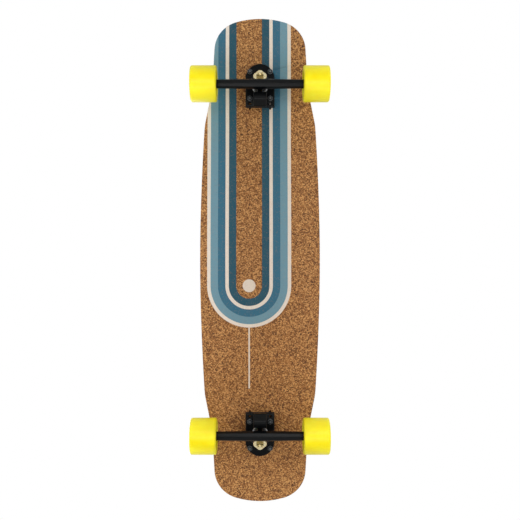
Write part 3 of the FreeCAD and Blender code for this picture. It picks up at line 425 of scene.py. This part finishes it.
for end in ends:
    for side, finish, slot in (
        ("boardside", zincSteel, "silver_steel"), ("roadside", goldZinc, "gold_steel"),
    ):
        bm = bmesh.new()
        spinProfile(bm, washers[side], washerMesh["steps"])
        stand = ringFrame(end)
        if side == "roadside":
            stand = stand @ halfTurn
        bmesh.ops.transform(bm, matrix=stand, verts=bm.verts)
        piece = finishPiece(f"{end}_{side}_rolled_washer", bm, [finish], washerMesh["sharp"])
        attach(piece, "board")
        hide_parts(f"{end}_{side}_washer")
print("washers made")


# Lock nuts: kingpin, axle and deck, each a hexagon with a nylon insert.
lockNut = {
    "chamfer": 0.55,  # share of what the corners stand out
    "collar": 0.86,  # collar's radius as a share of the flats'
    "collarGap": 0.05, "crimp": 0.3,  # the collar is crimped a little into the hexagon
    "round": 0.5, "sharp": 25,
}
kingpinNut = {"width": 14.3, "height": 8.5, "hex": 6.6, "bore": 4.8, "steps": 48, "seat": 16.0}
axleNut = {"width": 12.7, "height": 7.5, "hex": 5.6, "bore": 4.05, "steps": 48, "seat": 116.0}
deckNut = {"width": 9.5, "height": 5.0, "hex": 3.7, "bore": 2.45, "steps": 36}
boltHoles = {"column": 20.6375, "rows": (327.5125, 381.4875)}


def boltSpots(turn):
    # where a truck's four bolts lie, across and along the board
    towards = 1 if turn == 0 else -1
    return [
        (x * boltHoles["column"] * mm, row * mm * towards) for x in (-1, 1) for row in boltHoles["rows"]]


def cutHexagon(bm, flat):
    # trims a turned blank to six flats, which leaves the round chamfer of a real nut at the corners
    for k in range(6):
        side = Vector((math.cos(k * math.pi / 3), math.sin(k * math.pi / 3), 0.0))
        everything = list(bm.verts) + list(bm.edges) + list(bm.faces)
        cut = bmesh.ops.bisect_plane(
            bm, geom=everything, dist=1e-7, plane_co=side * flat, plane_no=side, clear_outer=True)
        rim = [g for g in cut["geom_cut"] if isinstance(g, bmesh.types.BMEdge)]
        bmesh.ops.edgeloop_fill(bm, edges=rim)


def addLockNut(bm, nut, stand):
    # hexagon with a nylon collar, seated at local Z = 0
    flat = nut["width"] / 2
    corner = flat / math.cos(math.pi / 6)
    chamfer = (corner - flat) * lockNut["chamfer"]
    hexagon = bmesh.new()
    body = [
        (nut["bore"], 0.0), (flat, 0.0), (corner, chamfer), (corner, nut["hex"] - chamfer),
        (flat, nut["hex"]), (nut["bore"], nut["hex"])]
    spinProfile(hexagon, body, nut["steps"])
    cutHexagon(hexagon, flat * mm)
    collar = bmesh.new()
    rim = flat * lockNut["collar"]
    bore = nut["bore"] + lockNut["collarGap"]
    foot = nut["hex"] - lockNut["crimp"]
    ring = [
        (bore, foot), (rim, foot), (rim, nut["height"] - lockNut["round"]),
        (rim - lockNut["round"], nut["height"]), (bore, nut["height"])]
    spinProfile(collar, ring, nut["steps"])
    for face in collar.faces:
        face.material_index = 1
    for source in (hexagon, collar):
        bmesh.ops.transform(source, matrix=stand, verts=source.verts)
        held = bpy.data.meshes.new("nut")
        source.to_mesh(held)
        source.free()
        bm.from_mesh(held)
        bpy.data.meshes.remove(held)


for end, turn in ends.items():
    bm = bmesh.new()
    under = Matrix.Translation((0, 0, kingpinNut["seat"] * mm))
    addLockNut(bm, kingpinNut, ringFrame(end) @ halfTurn @ under)
    piece = finishPiece(f"{end}_kingpin_locknut", bm, [goldZinc, goldZinc], lockNut["sharp"])
    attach(piece, "board")
    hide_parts(f"{end}_kingpin_nut")

    bm = bmesh.new()
    axleMiddle = Matrix.Translation(joints[f"{end}_left_wheel_spin"]["pos_m"])
    outward = Matrix.Translation((0, 0, axleNut["seat"] * mm))
    for quarter in (90, -90):
        addLockNut(bm, axleNut, axleMiddle @ (Matrix.Rotation(math.radians(quarter), 4, "Y") @ outward))
    piece = finishPiece(f"{end}_axle_locknuts", bm, [zincSteel, lockNylon], lockNut["sharp"])
    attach(piece, f"{end}_hanger_body")
    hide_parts(f"{end}_axle_nuts")

    bm = bmesh.new()
    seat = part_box(f"{end}_lock_nuts")[1].z
    for x, y in boltSpots(turn):
        addLockNut(bm, deckNut, Matrix.Translation((x, y, seat)) @ halfTurn)
    piece = finishPiece(f"{end}_deck_locknuts", bm, [phosphateSteel, darkNylon], lockNut["sharp"])
    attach(piece, "board")
    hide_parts(f"{end}_lock_nuts")
print("lock nuts made")


# Deck bolts: countersunk heads with a hexagon socket, a painted highlight of bright plated steel around it
# and painted shade of dark phosphated steel on the head's rim, and a rolled thread at the tail.
bolt = {
    "head": 4.7, "headEdge": 0.12, "cone": 2.3, "shank": 2.4, "root": 2.05, "length": 29.0,
    "thread": 11.2, "pitch": 0.8,
    "socket": 1.8, "socketDepth": 2.0, "ring": 2.3,  # the head is flat outside the ring
    "bright": 2.6,  # radius of the painted highlight in the middle of the head
    "steps": 36, "sharp": 30,
}
boltProfile = [
    (bolt["ring"], 0.0), (bolt["bright"], 0.0), (bolt["head"] - bolt["headEdge"], 0.0),
    (bolt["head"], bolt["headEdge"]), (bolt["shank"], bolt["cone"])]
depth = bolt["length"] - bolt["thread"]
while depth < bolt["length"] - bolt["pitch"]:
    boltProfile += [(bolt["shank"], depth), (bolt["root"], depth + bolt["pitch"] / 2)]
    depth += bolt["pitch"]
boltProfile += [(bolt["root"], bolt["length"]), (0.0, bolt["length"])]
one = bmesh.new()
spinProfile(one, boltProfile, bolt["steps"], closed=False)
opening = [e for e in one.edges if len(e.link_faces) == 1]
corners = bmesh.ops.create_circle(one, segments=6, radius=bolt["socket"] * mm)["verts"]
hexagon = list({e for v in corners for e in v.link_edges})
bmesh.ops.bridge_loops(one, edges=opening + hexagon)
sunk = bmesh.ops.extrude_edge_only(one, edges=hexagon)["geom"]
sunkVerts = [g for g in sunk if isinstance(g, bmesh.types.BMVert)]
sunkEdges = [g for g in sunk if isinstance(g, bmesh.types.BMEdge)]
bmesh.ops.translate(one, verts=sunkVerts, vec=(0, 0, bolt["socketDepth"] * mm))
bmesh.ops.edgeloop_fill(one, edges=sunkEdges)
bmesh.ops.recalc_face_normals(one, faces=one.faces)
# faces in the head's middle get bright plated steel as a painted highlight; the head's rim, cone and shank
# get dark phosphated steel as painted shade
for face in one.faces:
    middle = face.calc_center_median()
    paintedHighlight = middle.xy.length < bolt["bright"] * mm and middle.z < bolt["cone"] * mm
    face.material_index = 0 if paintedHighlight else 1
oneBolt = bpy.data.meshes.new("bolt")
one.to_mesh(oneBolt)
one.free()
for end, turn in ends.items():
    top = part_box(f"{end}_deck_bolts")[1].z
    bm = bmesh.new()
    for x, y in boltSpots(turn):
        start = len(bm.verts)
        bm.from_mesh(oneBolt)
        bm.verts.ensure_lookup_table()
        bmesh.ops.transform(bm, matrix=Matrix.Translation((x, y, top)) @ halfTurn, verts=bm.verts[start:])
    piece = finishPiece(f"{end}_socket_bolts", bm, [zincSteel, phosphateSteel], bolt["sharp"])
    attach(piece, "board")
    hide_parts(f"{end}_deck_bolts")
bpy.data.meshes.remove(oneBolt)
print("deck bolts made")


# Castings: the same shapes as the solids with their edges rounded as sand casting leaves them.
casting = {"voxel": 0.8, "smoothing": 4, "strength": 0.5, "sharp": 180}
for end in ends:
    for part, body in (("hanger", f"{end}_hanger_body"), ("baseplate", "board")):
        bm = bmesh.new()
        bm.from_mesh(nodes[f"{end}_{part}"].data)
        bmesh.ops.remove_doubles(bm, verts=bm.verts, dist=weld)
        piece = finishPiece(f"{end}_{part}_casting", bm, [powderCoat], casting["sharp"])
        remesh = piece.modifiers.new("mould", "REMESH")
        remesh.mode = "VOXEL"
        remesh.voxel_size = casting["voxel"] * mm
        remesh.use_smooth_shade = True
        rounding = piece.modifiers.new("rounding", "SMOOTH")
        rounding.factor = casting["strength"]
        rounding.iterations = casting["smoothing"]
        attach(piece, body)
        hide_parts(f"{end}_{part}")
print("castings rounded")


# Deck rims: the outer edges of the cork and of the grip are eased by sanding.
rims = {
    "cork_base": {"ease": 1.4, "facing": -1, "finish": corkBase, "slot": "cork"},
    "grip_tape": {"ease": 0.5, "facing": 1, "finish": gripTape, "slot": "grip"},
}
drilled = {"across": 30.0, "from": 290.0, "to": 410.0}  # the holes lie here, and their edges stay sharp
rimEdge = {"flat": 0.8, "upright": 0.3, "segments": 3}  # how level and how upright the two faces of a rim are
for layer, rim in rims.items():
    bm = bmesh.new()
    bm.from_mesh(nodes[layer].data)
    bmesh.ops.remove_doubles(bm, verts=bm.verts, dist=weld)
    bm.normal_update()
    outline = []
    for seam in bm.edges:
        middle = (seam.verts[0].co + seam.verts[1].co) / 2
        lengthways = drilled["from"] * mm < abs(middle.y) < drilled["to"] * mm
        if len(seam.link_faces) != 2 or (lengthways and abs(middle.x) < drilled["across"] * mm):
            continue
        slopes = sorted(f.normal.z * rim["facing"] for f in seam.link_faces)
        if slopes[1] > rimEdge["flat"] and abs(slopes[0]) < rimEdge["upright"]:
            outline.append(seam)
    bmesh.ops.bevel(
        bm, geom=outline, offset=rim["ease"] * mm, offset_type="OFFSET", segments=rimEdge["segments"],
        profile=0.5, affect="EDGES", clamp_overlap=True, material=-1)
    piece = finishPiece(f"{layer}_eased", bm, [rim["finish"]])
    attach(piece, "board")
    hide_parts(layer)
    print(layer, "rim edges", len(outline))


# Floor: pale and matt, seen only from above, and fading out before the horizon.
stage = {"floor": "#ECECEA", "size": 12.0, "fade": (1.2, 4.5)}
floorMaterial, tree, surface, place = startMaterial("paleStudioFloor", Roughness=0.9, Specular_IOR_Level=0.1)
surface.inputs["Base Color"].default_value = linear(stage["floor"])
rays = addNode(tree, "ShaderNodeLightPath")
side = addNode(tree, "ShaderNodeNewGeometry")
clear = addNode(tree, "ShaderNodeBsdfTransparent")
away = addNode(tree, "ShaderNodeVectorMath", None, {0: place}, operation="LENGTH")
far = addNode(
    tree, "ShaderNodeMapRange", {"From Min": stage["fade"][0], "From Max": stage["fade"][1]},
    {"Value": away.outputs["Value"]}, interpolation_type="SMOOTHSTEP")
hidden = addNode(
    tree, "ShaderNodeMath", None, {0: rays.outputs["Is Shadow Ray"], 1: side.outputs["Backfacing"]},
    operation="MAXIMUM")
unseen = addNode(
    tree, "ShaderNodeMath", None, {0: hidden.outputs[0], 1: far.outputs["Result"]}, operation="MAXIMUM")
sheet = addNode(
    tree, "ShaderNodeMixShader", None, {0: unseen.outputs[0], 1: surface.outputs[0], 2: clear.outputs[0]})
tree.links.new(sheet.outputs[0], tree.nodes["Material Output"].inputs["Surface"])
bm = bmesh.new()
bmesh.ops.create_grid(bm, x_segments=1, y_segments=1, size=stage["size"] / 2)
floor = finishPiece("floor", bm, [floorMaterial])
floor.visible_glossy = False

# Studio: white to the camera, soft light on everything, and mirrored as bright walls that darken overhead
# and underneath. A bright ceiling is added overhead.
studio = {
    "ambient": 0.64, "walls": 0.75, "overhead": 0.12, "ceiling": 0.5,
    "steep": (0.3, 0.95),  # heights between which the walls give way to the ceiling
}
white = (1, 1, 1, 1)
world = bpy.data.worlds.new("studio")
scene.world = world
world.use_nodes = True
tree = world.node_tree
tree.nodes.clear()
rays = addNode(tree, "ShaderNodeLightPath")
seen = addNode(
    tree, "ShaderNodeMath", None, {0: rays.outputs["Is Camera Ray"], 1: rays.outputs["Is Transmission Ray"]},
    operation="MAXIMUM")
backdrop = addNode(tree, "ShaderNodeBackground", {"Color": white, "Strength": 1.0})
towards = addNode(tree, "ShaderNodeTexCoord")
heading = addNode(tree, "ShaderNodeSeparateXYZ", None, {"Vector": towards.outputs["Generated"]})
steep = addNode(tree, "ShaderNodeMath", None, {0: heading.outputs["Z"]}, operation="ABSOLUTE")
heights = {"From Min": studio["steep"][0], "From Max": studio["steep"][1]}
walls = addNode(
    tree, "ShaderNodeMapRange", {**heights, "To Min": studio["walls"], "To Max": studio["overhead"]},
    {"Value": steep.outputs[0]})
ceiling = addNode(
    tree, "ShaderNodeMapRange", {**heights, "To Max": studio["ceiling"]}, {"Value": heading.outputs["Z"]})
mirrored = addNode(
    tree, "ShaderNodeMath", None, {0: walls.outputs["Result"], 1: ceiling.outputs["Result"]}, operation="ADD")
room = addNode(tree, "ShaderNodeBackground", {"Color": white}, {"Strength": mirrored.outputs[0]})
soft = addNode(tree, "ShaderNodeBackground", {"Color": white, "Strength": studio["ambient"]})
matte = addNode(
    tree, "ShaderNodeMixShader", None,
    {0: rays.outputs["Is Glossy Ray"], 1: soft.outputs[0], 2: room.outputs[0]})
sky = addNode(
    tree, "ShaderNodeMixShader", None, {0: seen.outputs[0], 1: matte.outputs[0], 2: backdrop.outputs[0]})
addNode(tree, "ShaderNodeOutputWorld", None, {"Surface": sky.outputs[0]})

lamps = {
    "keyAbove": {"at": (1.1, -1.0, 2.2), "size": (1.6, 1.6), "watts": 20},
    "fillAbove": {"at": (-1.4, 0.8, 1.7), "size": (1.6, 1.6), "watts": 9},
    "stripBelowNose": {"at": (-0.1, 0.28, -0.85), "size": (1.2, 0.25), "watts": 2.7},
    "stripBelowTail": {"at": (0.1, -0.28, -0.85), "size": (1.2, 0.25), "watts": 2.5},
}
lampAim = Vector((0, 0, 0.1))
for name, lamp in lamps.items():
    data = bpy.data.lights.new(name, "AREA")
    data.shape = "RECTANGLE"
    data.size, data.size_y = lamp["size"]
    data.energy = lamp["watts"]
    light = bpy.data.objects.new(name, data)
    light.location = lamp["at"]
    light.rotation_euler = (lampAim - light.location).to_track_quat("-Z", "Y").to_euler()
    light.visible_camera = False
    scene.collection.objects.link(light)

# The photograph looks straight up at the underside, nose at the top.
view = {
    "tips": 0.116, "distance": 1.45,  # height of the deck's tips, and how far below them the camera is
    "length": 0.9906, "spanPixels": 482.35, "imagePixels": 520, "sensor": 36,
}
camera = bpy.data.objects.new("camera", bpy.data.cameras.new("camera"))
camera.location = (0, 0, view["tips"] - view["distance"])
camera.rotation_euler = (0, math.pi, 0)
camera.data.sensor_width = view["sensor"]
frameWidth = view["length"] / view["spanPixels"] * view["imagePixels"]
camera.data.lens = view["sensor"] * view["distance"] / frameWidth
scene.collection.objects.link(camera)
scene.camera = camera
print("stage set, lens", round(camera.data.lens, 1))
